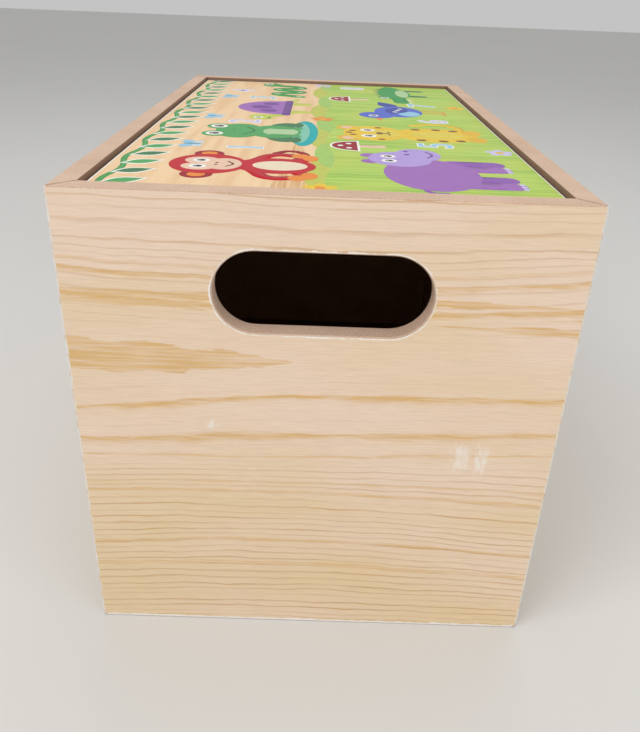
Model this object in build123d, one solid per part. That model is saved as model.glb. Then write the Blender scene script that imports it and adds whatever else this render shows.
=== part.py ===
"""Wooden toy box, in millimetres: four mitred MDF walls, a captured floor, a hand slot in
each end wall and a picture lid that drops in between the walls.

X runs across the box, Y along it and Z up. The origin is the centre of the footprint, on the
surface that the box stands on. The near end is at -Y and the left side at -X.
"""

import os

from build123d import *

# Over-all size, over the printed papers
BOX_WIDTH = 200.0
BOX_LENGTH = 340.0
BOX_HEIGHT = 208.0

# Sheet goods
WALL = 9.0            # MDF of the four walls
FLOOR = 4.0           # hardboard floor
LID = 5.0             # MDF of the lid
PAPER = 0.3           # printed paper glued on the walls and on the lid

# Mitred walls
GLUE_GAP = 0.1        # glue line between two mitre faces
ARRIS = 0.6           # rounding of the four upright corners
EDGE = 0.4            # rounding of the sawn top and bottom edges
FOOT_CORNER = 2.5     # rounding of the walls' bottom corners

# Floor groove
GROOVE_LIFT = 6.0     # underside of the floor above the standing surface
GROOVE_DEPTH = 4.5
FLOOR_TONGUE = 4.2    # how far the floor reaches into the groove
GROOVE_PLAY = 0.1     # above and below the floor

# Hand slots
SLOT_LENGTH = 84.0
SLOT_HEIGHT = 33.0
SLOT_CENTRE = 170.0   # height of the slots' centreline
SLOT_EDGE = 0.6       # rounding of their edges

# Papers
PAPER_INSET = 0.5     # bare MDF left between a paper and the edge of its wall
LID_PAPER_INSET = 0.3

# Lid and the rails that carry it
LID_RECESS = 2.0      # the picture lies this far below the rim
LID_PLAY = 1.0        # gap round the lid
LID_CORNER = 1.5
RAIL = 9.0            # square section of a lid rail
RAIL_PLAY = 0.5       # gap at each end of a rail
RAIL_BEVEL = 1.5      # bevel on a rail's lower inner edge

# Headed pins that hold a rail while its glue sets
PIN_COUNT = 5
PIN_RADIUS = 0.6
PIN_HEAD_RADIUS = 1.1
PIN_HEAD = 0.5
PIN_BITE = 6.0        # how far a pin reaches into its wall
PIN_PLAY = 0.02       # radial room round a pin

# For cutting and choosing
OVERRUN = 3.0         # how far a cutting solid runs past what it cuts
FLAT = 0.01           # an edge that spans less than this lies in one plane

# Worked-out sizes
board_width = BOX_WIDTH - 2 * PAPER
board_length = BOX_LENGTH - 2 * PAPER
inner_width = board_width - 2 * WALL
inner_length = board_length - 2 * WALL
groove_height = FLOOR + 2 * GROOVE_PLAY
lid_top = BOX_HEIGHT - LID_RECESS
lid_under = lid_top - PAPER - LID
rail_length = inner_length - 2 * RAIL_PLAY
rail_centre = inner_width / 2 - RAIL / 2
pin_height = lid_under - RAIL / 2

ON_FLOOR = (Align.CENTER, Align.CENTER, Align.MIN)


def slot_prism(growth, y_from, y_to):
    """A hand slot's outline, grown all round, as a solid from y_from to y_to."""
    outline = Plane.XZ * Pos(0, SLOT_CENTRE) * SlotOverall(
        SLOT_LENGTH + 2 * growth, SLOT_HEIGHT + 2 * growth
    )
    return Pos(0, y_to, 0) * extrude(outline, y_to - y_from)


def wall_ring():
    """The four walls in one piece, grooved for the floor, before the mitres part them."""
    ring = Box(board_width, board_length, BOX_HEIGHT, align=ON_FLOOR)
    ring = fillet(ring.edges().filter_by(Axis.Z), ARRIS)
    ring -= Box(inner_width, inner_length, BOX_HEIGHT, align=ON_FLOOR)
    ring = fillet(ring.faces().sort_by(Axis.Z)[-1].edges(), EDGE)
    ring = fillet(ring.faces().sort_by(Axis.Z)[0].edges(), EDGE)
    groove = Box(
        inner_width + 2 * GROOVE_DEPTH,
        inner_length + 2 * GROOVE_DEPTH,
        groove_height,
        align=ON_FLOOR,
    )
    return ring - Pos(0, 0, GROOVE_LIFT - GROOVE_PLAY) * groove


def mitre_wedge(span, reach):
    """The room of the wall at -Y between its two mitre planes, for walls span x reach outside."""
    gap = GLUE_GAP / 2**0.5
    outside = span / 2 + OVERRUN - gap
    inside = span / 2 - WALL - OVERRUN - gap
    y_outside = -reach / 2 - OVERRUN
    y_inside = -reach / 2 + WALL + OVERRUN
    plan = Polygon(
        (-outside, y_outside),
        (outside, y_outside),
        (inside, y_inside),
        (-inside, y_inside),
        align=None,
    )
    return extrude(plan, BOX_HEIGHT)


def foot_prism(span, depth):
    """An upright plate facing -Y with its two bottom corners rounded."""
    plate = Box(span, depth, BOX_HEIGHT, align=ON_FLOOR)
    bottom = plate.faces().sort_by(Axis.Z)[0].edges().filter_by(Axis.Y)
    return fillet(bottom, FOOT_CORNER)


def end_wall(ring):
    """The near end wall, with its hand slot."""
    wall = ring & mitre_wedge(board_width, board_length)
    wall &= foot_prism(board_width, board_length)
    outer_face = -board_length / 2
    wall -= slot_prism(0, outer_face - OVERRUN, outer_face + WALL + OVERRUN)
    round_slot = wall.edges().filter_by(
        lambda edge: abs(edge.center().Z - SLOT_CENTRE) < SLOT_HEIGHT
        and abs(edge.center().X) < SLOT_LENGTH / 2 + OVERRUN
        and edge.bounding_box().size.Y < FLAT
    )
    return fillet(round_slot, SLOT_EDGE)


def side_wall(ring):
    """The left side wall, drilled for its rail's pins."""
    turned = Rot(0, 0, -90) * mitre_wedge(board_length, board_width)
    wall = ring & turned
    wall &= Rot(0, 0, 90) * foot_prism(board_length, board_width)
    return wall - pin_holes()


def paper_outline(span):
    """A wall's paper, laid flat: its corners follow the wall's bottom corners."""
    width = span - 2 * PAPER_INSET
    height = BOX_HEIGHT - 2 * PAPER_INSET
    sheet = Box(width, PAPER, height, align=(Align.CENTER, Align.MAX, Align.MIN))
    bottom = sheet.faces().sort_by(Axis.Z)[0].edges().filter_by(Axis.Y)
    sheet = fillet(bottom, FOOT_CORNER - PAPER_INSET)
    return Pos(0, 0, PAPER_INSET) * sheet


def end_paper():
    """The printed paper on the near end wall, cut out round the slot."""
    face = -board_length / 2
    sheet = Pos(0, face, 0) * paper_outline(board_width)
    return sheet - slot_prism(SLOT_EDGE, face - OVERRUN, face + OVERRUN)


def side_paper():
    """The printed paper on the left side wall."""
    return Pos(-board_width / 2, 0, 0) * Rot(0, 0, -90) * paper_outline(board_length)


def pin_places():
    """Where the left rail's pins stand along Y."""
    pitch = rail_length / PIN_COUNT
    return [(k - (PIN_COUNT - 1) / 2) * pitch for k in range(PIN_COUNT)]


def pin(play):
    """One pin of the left rail at Y 0, or with play its hole: head flush with the rail."""
    head_face = -inner_width / 2 + RAIL
    into_wall = Rot(0, -90, 0)
    shank = Cylinder(
        PIN_RADIUS + play, RAIL + PIN_BITE, align=(Align.CENTER, Align.CENTER, Align.MIN)
    )
    head = Cylinder(
        PIN_HEAD_RADIUS + play, PIN_HEAD, align=(Align.CENTER, Align.CENTER, Align.MIN)
    )
    return Pos(head_face, 0, pin_height) * into_wall * (shank + head)


def pin_holes():
    """The left rail's pin holes as one group of solids."""
    return Compound([Pos(0, y, 0) * pin(PIN_PLAY) for y in pin_places()])


def rail():
    """The left rail, which the lid's edge rests on."""
    strip = Box(RAIL, rail_length, RAIL, align=(Align.CENTER, Align.CENTER, Align.MAX))
    strip = chamfer(
        strip.edges().filter_by(Axis.Y).sort_by(Axis.Z)[:2].sort_by(Axis.X)[-1], RAIL_BEVEL
    )
    return Pos(-rail_centre, 0, lid_under) * strip - pin_holes()


def floor_board():
    """The floor, held in the grooves of all four walls."""
    width = inner_width + 2 * FLOOR_TONGUE
    length = inner_length + 2 * FLOOR_TONGUE
    return Pos(0, 0, GROOVE_LIFT) * Box(width, length, FLOOR, align=ON_FLOOR)


def lid_plate(inset, thickness, top, rounding):
    """A plate of the lid's outline, drawn in by inset, under the height top."""
    plan = RectangleRounded(
        inner_width - 2 * (LID_PLAY + inset),
        inner_length - 2 * (LID_PLAY + inset),
        LID_CORNER - inset,
    )
    plate = Pos(0, 0, top - thickness) * extrude(plan, thickness)
    if rounding:
        plate = fillet(plate.edges().group_by(Axis.Z)[0], rounding)
    return plate


def main():
    """Builds every piece and writes one STEP file for each."""
    ring = wall_ring()
    turn = Rot(0, 0, 180)
    near_wall = end_wall(ring)
    left_wall = side_wall(ring)
    near_paper = end_paper()
    left_paper = side_paper()
    left_rail = rail()
    left_pins = Compound([Pos(0, y, 0) * pin(0) for y in pin_places()])
    pieces = {
        "near_end_wall": near_wall,
        "far_end_wall": turn * near_wall,
        "left_side_wall": left_wall,
        "right_side_wall": turn * left_wall,
        "near_end_paper": near_paper,
        "far_end_paper": turn * near_paper,
        "left_side_paper": left_paper,
        "right_side_paper": turn * left_paper,
        "floor_board": floor_board(),
        "left_lid_rail": left_rail,
        "right_lid_rail": turn * left_rail,
        "left_rail_pins": left_pins,
        "right_rail_pins": turn * left_pins,
        "lid_board": lid_plate(0, LID, lid_top - PAPER, EDGE),
        "lid_picture_sheet": lid_plate(LID_PAPER_INSET, PAPER, lid_top, 0),
    }
    os.makedirs("parts", exist_ok=True)
    for name, piece in pieces.items():
        export_step(piece, f"parts/{name}.step")
        print(f"{name:20} {len(piece.solids())} solid(s) {piece.volume / 1000:9.3f} cm3")


main()
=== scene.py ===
"""Looks of a wooden toy box with a lift-off picture lid.

Printed pine papers on MDF boards, and a jungle counting picture printed on the lid. The file is
laid out as a Blender add-on and is run as a script. Corners from the CAD boxes, the studio's
places and the properties are in metres. Every other size is in millimetres.
"""

import math
from collections import Counter, namedtuple

import bmesh
import bpy
from bpy.props import FloatProperty, FloatVectorProperty, PointerProperty
from mathutils import Euler, Matrix, Vector


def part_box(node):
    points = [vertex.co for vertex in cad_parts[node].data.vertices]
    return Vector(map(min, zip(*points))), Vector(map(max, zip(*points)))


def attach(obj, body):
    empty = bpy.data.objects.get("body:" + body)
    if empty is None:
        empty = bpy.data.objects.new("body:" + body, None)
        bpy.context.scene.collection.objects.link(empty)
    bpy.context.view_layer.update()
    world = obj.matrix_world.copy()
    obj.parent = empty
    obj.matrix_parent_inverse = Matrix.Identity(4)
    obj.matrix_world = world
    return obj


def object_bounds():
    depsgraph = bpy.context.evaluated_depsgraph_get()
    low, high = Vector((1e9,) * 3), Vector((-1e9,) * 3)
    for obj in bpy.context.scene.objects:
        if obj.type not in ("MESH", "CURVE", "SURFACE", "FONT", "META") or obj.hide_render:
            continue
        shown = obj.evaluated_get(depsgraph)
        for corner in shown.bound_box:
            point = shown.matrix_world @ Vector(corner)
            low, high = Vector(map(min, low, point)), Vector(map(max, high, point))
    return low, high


bl_info = {
    "name": "Toy Box With Picture Lid",
    "version": (1, 0, 0),
    "blender": (4, 5, 0),
    "location": "View3D > Sidebar > Toy Box",
    "description": "Gives the toy box its printed papers, its picture lid and a studio",
    "category": "Object",
}

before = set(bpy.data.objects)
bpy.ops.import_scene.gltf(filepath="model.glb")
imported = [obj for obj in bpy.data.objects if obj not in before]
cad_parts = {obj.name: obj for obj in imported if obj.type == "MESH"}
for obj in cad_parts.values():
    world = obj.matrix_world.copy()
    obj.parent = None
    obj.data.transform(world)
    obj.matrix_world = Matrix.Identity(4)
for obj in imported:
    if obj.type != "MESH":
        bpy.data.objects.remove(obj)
CAD_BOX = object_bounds()

MM = 0.001
FOOT = CAD_BOX[0]
TOP = CAD_BOX[1]
BOX_HEIGHT = (TOP.z - FOOT.z) / MM
MITRE_OFFSET = (TOP.y - TOP.x) / MM  # the mitres' joints lie where |y| - |x| equals this
SHEET_LOW, SHEET_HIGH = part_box("lid_picture_sheet")
WALL_INSIDE = Vector((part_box("right_lid_rail")[1].x, -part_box("near_end_wall")[1].y, 0.0))
PICTURE_LENGTH = (SHEET_HIGH.y - SHEET_LOW.y) / MM
PICTURE_HEIGHT = (SHEET_HIGH.x - SHEET_LOW.x) / MM


# ---------------------------------------------------------------------------- settings


def linear(hex_code):
    """The linear RGBA colour of an sRGB hex code."""
    parts = [int(hex_code[k : k + 2], 16) / 255 for k in (0, 2, 4)]
    light = [p / 12.92 if p <= 0.04045 else ((p + 0.055) / 1.055) ** 2.4 for p in parts]
    return (*light, 1.0)


def colour(name, description, hex_code):
    """A colour property whose default is an sRGB hex code."""
    return FloatVectorProperty(
        name=name,
        description=description,
        default=linear(hex_code),
        size=4,
        min=0.0,
        max=1.0,
        subtype="COLOR",
    )


def length(name, description, default, least=0.0):
    """A length property, whose default and least value are given in millimetres."""
    return FloatProperty(
        name=name,
        description=description,
        default=default * MM,
        min=least * MM,
        unit="LENGTH",
        precision=6,
    )


class TOYBOX_PG_boards(bpy.types.PropertyGroup):
    """Colours of the boards, the rails and their pins."""

    mdf: colour("MDF", "Sawn and sanded MDF", "DCBFA9")
    mdf_dark: colour("MDF fibres", "Darker fibres in the MDF", "B5947A")
    # This colour also paints the shade on the inner faces of the walls beside the sunk lid
    joint_and_recess_shade: colour("Joint line", "Glue and dust in the mitre joints", "6B4B38")
    hardboard: colour("Hardboard", "Smooth face of the floor board", "7A5334")
    pine: colour("Pine", "Planed pine of the lid rails", "D9B27E")
    steel: colour("Steel", "Bright steel of the rail pins", "B9B7B2")


class TOYBOX_PG_paper(bpy.types.PropertyGroup):
    """Colours and sizes of the printed pine paper."""

    earlywood: colour("Earlywood", "Pale wood between the rings", "F1D7C0")
    earlywood_warm: colour("Warm earlywood", "Warmer patches of the pale wood", "EBD0A8")
    ring: colour("Ring", "Fine growth rings", "C8995A")
    heart: colour("Heart", "Bold rings and flames", "DDAF64")
    core: colour("Paper core", "White core bare at worn edges", "F6F1E8")
    ring_pitch: length("Ring pitch", "Distance between fine growth rings near the foot", 3.4, 1.0)
    worn_edge: length("Worn edge", "Width of the white core along the paper's edges", 0.7)


class TOYBOX_PG_picture(bpy.types.PropertyGroup):
    """Inks and sizes of the lid's printed picture."""

    ground: colour("Ground", "Painted planks behind the scene", "EFCFA4")
    ground_warm: colour("Warm ground", "Warm streaks in the planks", "E4B98A")
    ground_brown: colour("Brown ground", "Brown flame in the planks", "CE9960")
    grass: colour("Grass", "Lime-green grass", "B5D364")
    grass_dark: colour("Dark grass", "Streaks in the grass", "93BC4C")
    olive: colour("Olive", "Far hills", "C6CC5C")
    teal: colour("Teal", "Pond", "0FB0B2")
    deep_teal: colour("Deep teal", "Butterflies' bodies", "1F7C86")
    mint: colour("Mint", "Lily pad", "86CDB6")
    leaf: colour("Leaf", "Frog and vine", "55AA62")
    deep_leaf: colour("Deep leaf", "Dark leaves and legs", "467F52")
    croc: colour("Crocodile green", "Snake and crocodile", "42A356")
    red: colour("Red", "Monkey's coat", "C81E2C")
    deep_red: colour("Deep red", "Monkey's ears and the toadstools", "9E1F2B")
    orange: colour("Orange", "Hands, feet, beak and flowers", "F0913A")
    yellow: colour("Yellow", "Spotted cat and flowers", "EFCB3A")
    pale_yellow: colour("Pale yellow", "The cat's chest and muzzle", "E6D254")
    lilac: colour("Lilac", "Hippo's head", "B9A2E0")
    purple: colour("Purple", "Hippo's body and the shell", "A571BD")
    deep_purple: colour("Deep purple", "Shell plates and nostrils", "7D4F9B")
    blue: colour("Blue", "Songbird", "5A6FD0")
    deep_blue: colour("Deep blue", "Wing", "4450A8")
    sky: colour("Sky", "Numerals and wings", "9CCFEA")
    pale_sky: colour("Pale sky", "Lower wings", "C4DDEB")
    pale_lilac: colour("Pale lilac", "Numerals and petals", "D3CDF0")
    cream: colour("Cream", "Monkey's belly", "F3E1C4")
    white: colour("White", "Outlines and eyes", "FBFAF4")
    brown: colour("Brown", "Monkey's nose and mouth", "70432F")
    grass_light: colour("Light grass", "Near hills", "A9CF6B")
    lime: colour("Lime", "Tortoise's skin", "C9D45C")
    blush: colour("Blush", "Monkey's face, stems and ears", "F0CBB0")
    purple_shade: colour("Shaded purple", "Hippo's far legs", "9463B6")
    warm_yellow: colour("Warm yellow", "The cat's ears and paws", "E9BC38")
    pale_green: colour("Pale green", "Bellies and stripes", "B7D6A0")
    spot_brown: colour("Spot brown", "The cat's spots", "7C4A34")
    black: colour("Black", "Pupils and noses", "26231F")
    ink_step: length("Ink step", "Height of one layer of ink over the last", 0.015, 0.005)
    outline: length("Outline", "Width of the white outlines", 1.1, 0.2)


class TOYBOX_PG_stage(bpy.types.PropertyGroup):
    """The studio."""

    floor: colour("Floor", "Plain pale floor", "D9D8D5")
    lens: FloatProperty(
        name="Lens",
        description="Focal length on a 36 mm sensor",
        default=35.68,
        min=10.0,
        subtype="DISTANCE_CAMERA",
    )
    key_power: FloatProperty(
        name="Key light",
        description="Power of the large light over the near end",
        default=8.6,
        min=0.0,
        unit="POWER",
    )
    sky_strength: FloatProperty(
        name="Surround",
        description="Strength of the even light from all round",
        default=0.55,
        min=0.0,
    )


class TOYBOX_PG_settings(bpy.types.PropertyGroup):
    """All settings of the toy box."""

    boards: PointerProperty(type=TOYBOX_PG_boards)
    paper: PointerProperty(type=TOYBOX_PG_paper)
    picture: PointerProperty(type=TOYBOX_PG_picture)
    stage: PointerProperty(type=TOYBOX_PG_stage)


# --------------------------------------------------------------------------- materials


def new_material(name, turn=0.0):
    """A node material, its shader, and Object coordinates in millimetres, turned about Z."""
    m = bpy.data.materials.new(name)
    m.use_nodes = True
    object_place = add(m, "TexCoord").outputs["Object"]
    measures = {"Vector": object_place, "Rotation": (0.0, 0.0, turn), "Scale": (1 / MM,) * 3}
    return m, m.node_tree.nodes["Principled BSDF"], add(m, "Mapping", measures)


def first_open(sockets):
    """The first socket in use."""
    return next(s for s in sockets if s.enabled)


def add(material, kind, inputs=(), stops=(), **settings):
    """Adds a node. Inputs are values, sockets or nodes, by the socket's name or number."""
    node = material.node_tree.nodes.new("ShaderNode" + kind)
    for name, value in settings.items():
        setattr(node, name, value)
    for key, value in dict(inputs).items():
        if isinstance(key, str):
            socket = next(s for s in node.inputs if s.enabled and s.name == key)
        else:
            socket = node.inputs[key]
        if isinstance(value, bpy.types.Node):
            value = first_open(value.outputs)
        if isinstance(value, bpy.types.NodeSocket):
            material.node_tree.links.new(value, socket)
        else:
            socket.default_value = value
    while stops and len(node.color_ramp.elements) < len(stops):
        node.color_ramp.elements.new(1.0)
    for element, (position, value) in zip(node.color_ramp.elements if stops else (), stops):
        element.position = position
        element.color = (value, value, value, 1.0)
    return node


def soft_patches(m, place, sizes, detail=2.0, seed=0.0):
    """Soft patches that measure sizes, in millimetres, along the three axes."""
    scale = tuple(1 / size for size in sizes)
    vector = add(m, "Mapping", {"Vector": place, "Location": (seed,) * 3, "Scale": scale})
    return add(m, "TexNoise", {"Vector": vector, "Scale": 1.0, "Detail": detail})


def connect(m, shader, tint, rough, relief=None, strength=0.0, depth=0.0, shade=None):
    """Joins colour, its shade, roughness and relief to the shader. Gives back the material."""
    links = m.node_tree.links
    if shade:
        shaded = {"Factor": 1.0, "A": tint, "B": shade}
        tint = add(m, "Mix", shaded, data_type="RGBA", blend_type="MULTIPLY")
    links.new(first_open(tint.outputs), shader.inputs["Base Color"])
    links.new(first_open(rough.outputs), shader.inputs["Roughness"])
    if relief:
        bump = add(m, "Bump", {"Strength": strength, "Distance": depth * MM, "Height": relief})
        links.new(bump.outputs[0], shader.inputs["Normal"])
    return m


Flame = namedtuple("Flame", "root root_height tip tip_height thickness")
Scuff = namedtuple("Scuff", "along height width tall")
PineFace = namedtuple("PineFace", "node turn length slotted lift bow rings density flames scuffs")


def pine_ring(m, height, place, thickness, swell):
    """A ring at one height: it darkens from below over its thickness and ends sharply above."""
    above = add(m, "Math", {0: height, 1: place}, operation="SUBTRACT")
    above = add(m, "Math", {0: above, 1: swell}, operation="DIVIDE")
    rise = add(m, "MapRange", {0: above, 1: -thickness, 2: 0.0}, interpolation_type="SMOOTHSTEP")
    end = add(m, "MapRange", {0: above, 1: 0.0, 2: 0.35 * thickness, 3: 1.0, 4: 0.0})
    return add(m, "Math", {0: rise, 1: end}, operation="MULTIPLY")


def pine_flame(m, along, height, flame, ragged):
    """A flame of grain: thick at its root, drawn out to a point at its tip."""
    t = add(m, "MapRange", {0: along, 1: flame.root, 2: flame.tip})
    middle = add(m, "MapRange", {0: t, 3: flame.root_height, 4: flame.tip_height})
    left_over = add(m, "Math", {0: 1.0, 1: t}, operation="SUBTRACT")
    taper = add(m, "Math", {0: left_over, 1: 0.7}, operation="POWER")
    swell = add(m, "Math", {0: ragged, 1: 2.2, 2: -0.1}, operation="MULTIPLY_ADD")
    half = add(m, "Math", {0: taper, 1: flame.thickness / 2}, operation="MULTIPLY")
    reach = add(m, "Math", {0: half, 1: swell}, operation="MULTIPLY")
    away = add(m, "Math", {0: height, 1: middle}, operation="SUBTRACT")
    away = add(m, "Math", {0: away}, operation="ABSOLUTE")
    inside = add(m, "Math", {0: reach, 1: away}, operation="SUBTRACT")
    return add(m, "MapRange", {0: inside, 1: 0.0, 2: 0.8}, interpolation_type="SMOOTHSTEP")


BEND_RANGE = 20.0  # mm of lift or bow at the two ends of their ramps


def bend_at(m, share, bends):
    """The lift or bow of the grain at a share of the height, from (height, bend) pairs."""
    stops = [(z / BOX_HEIGHT, (bend / BEND_RANGE + 1) / 2) for z, bend in bends]
    ramp = add(m, "ValToRGB", {0: share}, stops=stops)
    return add(m, "MapRange", {0: ramp, 3: -BEND_RANGE, 4: BEND_RANGE})


def pine_print(face, settings):
    """Pine grain printed on decor paper.

    A satin, quite flat print: pale earlywood, thin growth rings that are sharp on one side, a few
    bold rings and flames, and the paper's white core where the edges and the face are worn.
    """
    m, shader, board = new_material("pine_print_" + face.node, face.turn)
    axes = add(m, "SeparateXYZ", {0: board})
    along, height = axes.outputs["X"], axes.outputs["Z"]
    seed = len(face.node) * 7.3  # each paper's own part of the noise

    # The height of the grain, straightened: bold and fine rings bend together
    share = add(m, "Math", {0: height, 1: 1 / BOX_HEIGHT}, operation="MULTIPLY")
    side = add(m, "Math", {0: along, 1: 2 / face.length}, operation="MULTIPLY")
    lift = add(m, "Math", {0: bend_at(m, share, face.lift), 1: side}, operation="MULTIPLY")
    square = add(m, "Math", {0: side, 1: side}, operation="MULTIPLY")
    hump = add(m, "Math", {0: 1.0, 1: square}, operation="SUBTRACT")
    bow = add(m, "Math", {0: bend_at(m, share, face.bow), 1: hump}, operation="MULTIPLY")
    bend = add(m, "Math", {0: lift, 1: 0.5, 2: bow}, operation="MULTIPLY_ADD")
    slow = soft_patches(m, board, (75, 400, 30), 2.0, seed)
    small = soft_patches(m, board, (17, 400, 7), 3.0, seed + 3.0)
    bend = add(m, "Math", {0: slow, 1: 6.0, 2: bend}, operation="MULTIPLY_ADD")
    bend = add(m, "Math", {0: small, 1: 2.2, 2: bend}, operation="MULTIPLY_ADD")
    bend = add(m, "Math", {0: bend, 1: 4.1}, operation="SUBTRACT")
    grain = add(m, "Math", {0: height, 1: bend}, operation="SUBTRACT")

    # Fine rings, closer together near the foot
    pitch = settings.ring_pitch / MM
    slack = 0.1 / pitch / BOX_HEIGHT / 2
    rate = add(m, "Math", {0: grain, 1: -slack, 2: 1 / pitch}, operation="MULTIPLY_ADD")
    uneven = add(m, "TexNoise", {"W": grain, "Scale": 1 / 14, "Detail": 1.0}, noise_dimensions="1D")
    phase = add(m, "Math", {0: grain, 1: rate}, operation="MULTIPLY")
    phase = add(m, "Math", {0: uneven, 1: 1.4, 2: phase}, operation="MULTIPLY_ADD")
    number = add(m, "Math", {0: phase}, operation="FLOOR")
    part = add(m, "Math", {0: phase}, operation="FRACT")
    rise = add(m, "MapRange", {0: part, 1: 0.66, 2: 0.92}, interpolation_type="SMOOTHSTEP")
    end = add(m, "MapRange", {0: part, 1: 0.94, 2: 1.0, 3: 1.0, 4: 0.0})
    fine = add(m, "Math", {0: rise, 1: end}, operation="MULTIPLY")
    chance = add(m, "TexWhiteNoise", {"W": number}, noise_dimensions="1D")
    weight = add(m, "MapRange", {0: chance, 3: 0.3, 4: 1.0})
    fine = add(m, "Math", {0: fine, 1: weight}, operation="MULTIPLY")
    fade = soft_patches(m, board, (45, 400, 5), 2.0, seed + 9.0)
    fade = add(m, "MapRange", {0: fade, 1: 0.3, 2: 0.62, 3: 0.35, 4: 1.0})
    fine = add(m, "Math", {0: fine, 1: fade}, operation="MULTIPLY")
    density = add(m, "ValToRGB", {0: share}, stops=[(z / BOX_HEIGHT, d) for z, d in face.density])
    fine = add(m, "Math", {0: fine, 1: density}, operation="MULTIPLY")

    # Bold rings
    swell = soft_patches(m, board, (26, 400, 12), 3.0, seed + 17.0)
    swell = add(m, "MapRange", {0: swell, 1: 0.36, 2: 0.66, 3: 0.7, 4: 2.1})
    bold = 0.0
    for place, thickness, depth in face.rings:
        ring = pine_ring(m, grain, place, thickness, swell)
        ring = add(m, "Math", {0: ring, 1: depth}, operation="MULTIPLY")
        bold = add(m, "Math", {0: bold, 1: ring}, operation="MAXIMUM")
    worn = soft_patches(m, board, (14, 400, 0.9), 4.0, seed + 14.0)
    worn = add(m, "MapRange", {0: worn, 1: 0.36, 2: 0.58, 3: 0.35, 4: 1.0})
    bold = add(m, "Math", {0: bold, 1: worn}, operation="MULTIPLY")

    # Flames, streaked inside and darker at their rim
    streaks = soft_patches(m, board, (34, 400, 1.0), 3.0, seed + 30.0)
    ragged = soft_patches(m, board, (22, 400, 6), 3.0, seed + 21.0)
    fray = soft_patches(m, board, (12, 400, 0.9), 2.0, seed + 23.0)
    ragged = add(m, "Math", {0: fray, 1: 0.2, 2: ragged}, operation="MULTIPLY_ADD")
    ragged = add(m, "Math", {0: ragged, 1: 0.1}, operation="SUBTRACT")
    flames = 0.0
    for flame in face.flames:
        tongue = pine_flame(m, along, height, flame, ragged)
        flames = add(m, "Math", {0: flames, 1: tongue}, operation="MAXIMUM")
    body = add(m, "MapRange", {0: streaks, 1: 0.38, 2: 0.6, 3: 0.22, 4: 0.78})
    outside = add(m, "Math", {0: 1.0, 1: flames}, operation="SUBTRACT")
    rim = add(m, "Math", {0: flames, 1: outside}, operation="MULTIPLY")
    body = add(m, "Math", {0: rim, 1: 1.3, 2: body}, operation="MULTIPLY_ADD")
    flames = add(m, "Math", {0: flames, 1: body}, operation="MULTIPLY", use_clamp=True)

    # Colours
    clouds = soft_patches(m, board, (120, 400, 32), 2.0, seed + 40.0)
    tone = add(m, "MapRange", {0: clouds, 1: 0.35, 2: 0.65, 3: 0.4, 4: 1.2})
    tone = add(m, "Math", {0: share, 1: -0.8, 2: tone}, operation="MULTIPLY_ADD", use_clamp=True)
    pale = {"Factor": tone, "A": settings.earlywood, "B": settings.earlywood_warm}
    wood = add(m, "Mix", pale, data_type="RGBA")
    wood = add(m, "Mix", {"Factor": fine, "A": wood, "B": settings.ring}, data_type="RGBA")
    bold = add(m, "Math", {0: bold, 1: flames}, operation="MAXIMUM")
    wood = add(m, "Mix", {"Factor": bold, "A": wood, "B": settings.heart}, data_type="RGBA")
    # Printed fibres are finer than this, which is as coarse as they need to be to show
    fibres = soft_patches(m, board, (9, 400, 0.4), 4.0, seed + 50.0)
    shade = add(m, "MapRange", {0: fibres, 1: 0.3, 2: 0.7, 3: 0.93, 4: 1.045})
    shaded = {"Factor": 1.0, "A": wood, "B": shade}
    wood = add(m, "Mix", shaded, data_type="RGBA", blend_type="MULTIPLY")

    # White core along the edges and in the scuffs
    bare = bare_core(m, face, settings, board, along, height)
    wood = add(m, "Mix", {"Factor": bare, "A": wood, "B": settings.core}, data_type="RGBA")

    gloss = add(m, "MapRange", {0: streaks, 3: 0.36, 4: 0.5})
    gloss = add(m, "Math", {0: bare, 1: 0.3, 2: gloss}, operation="MULTIPLY_ADD")
    return connect(m, shader, wood, gloss, fibres, strength=0.35, depth=0.02)


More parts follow.
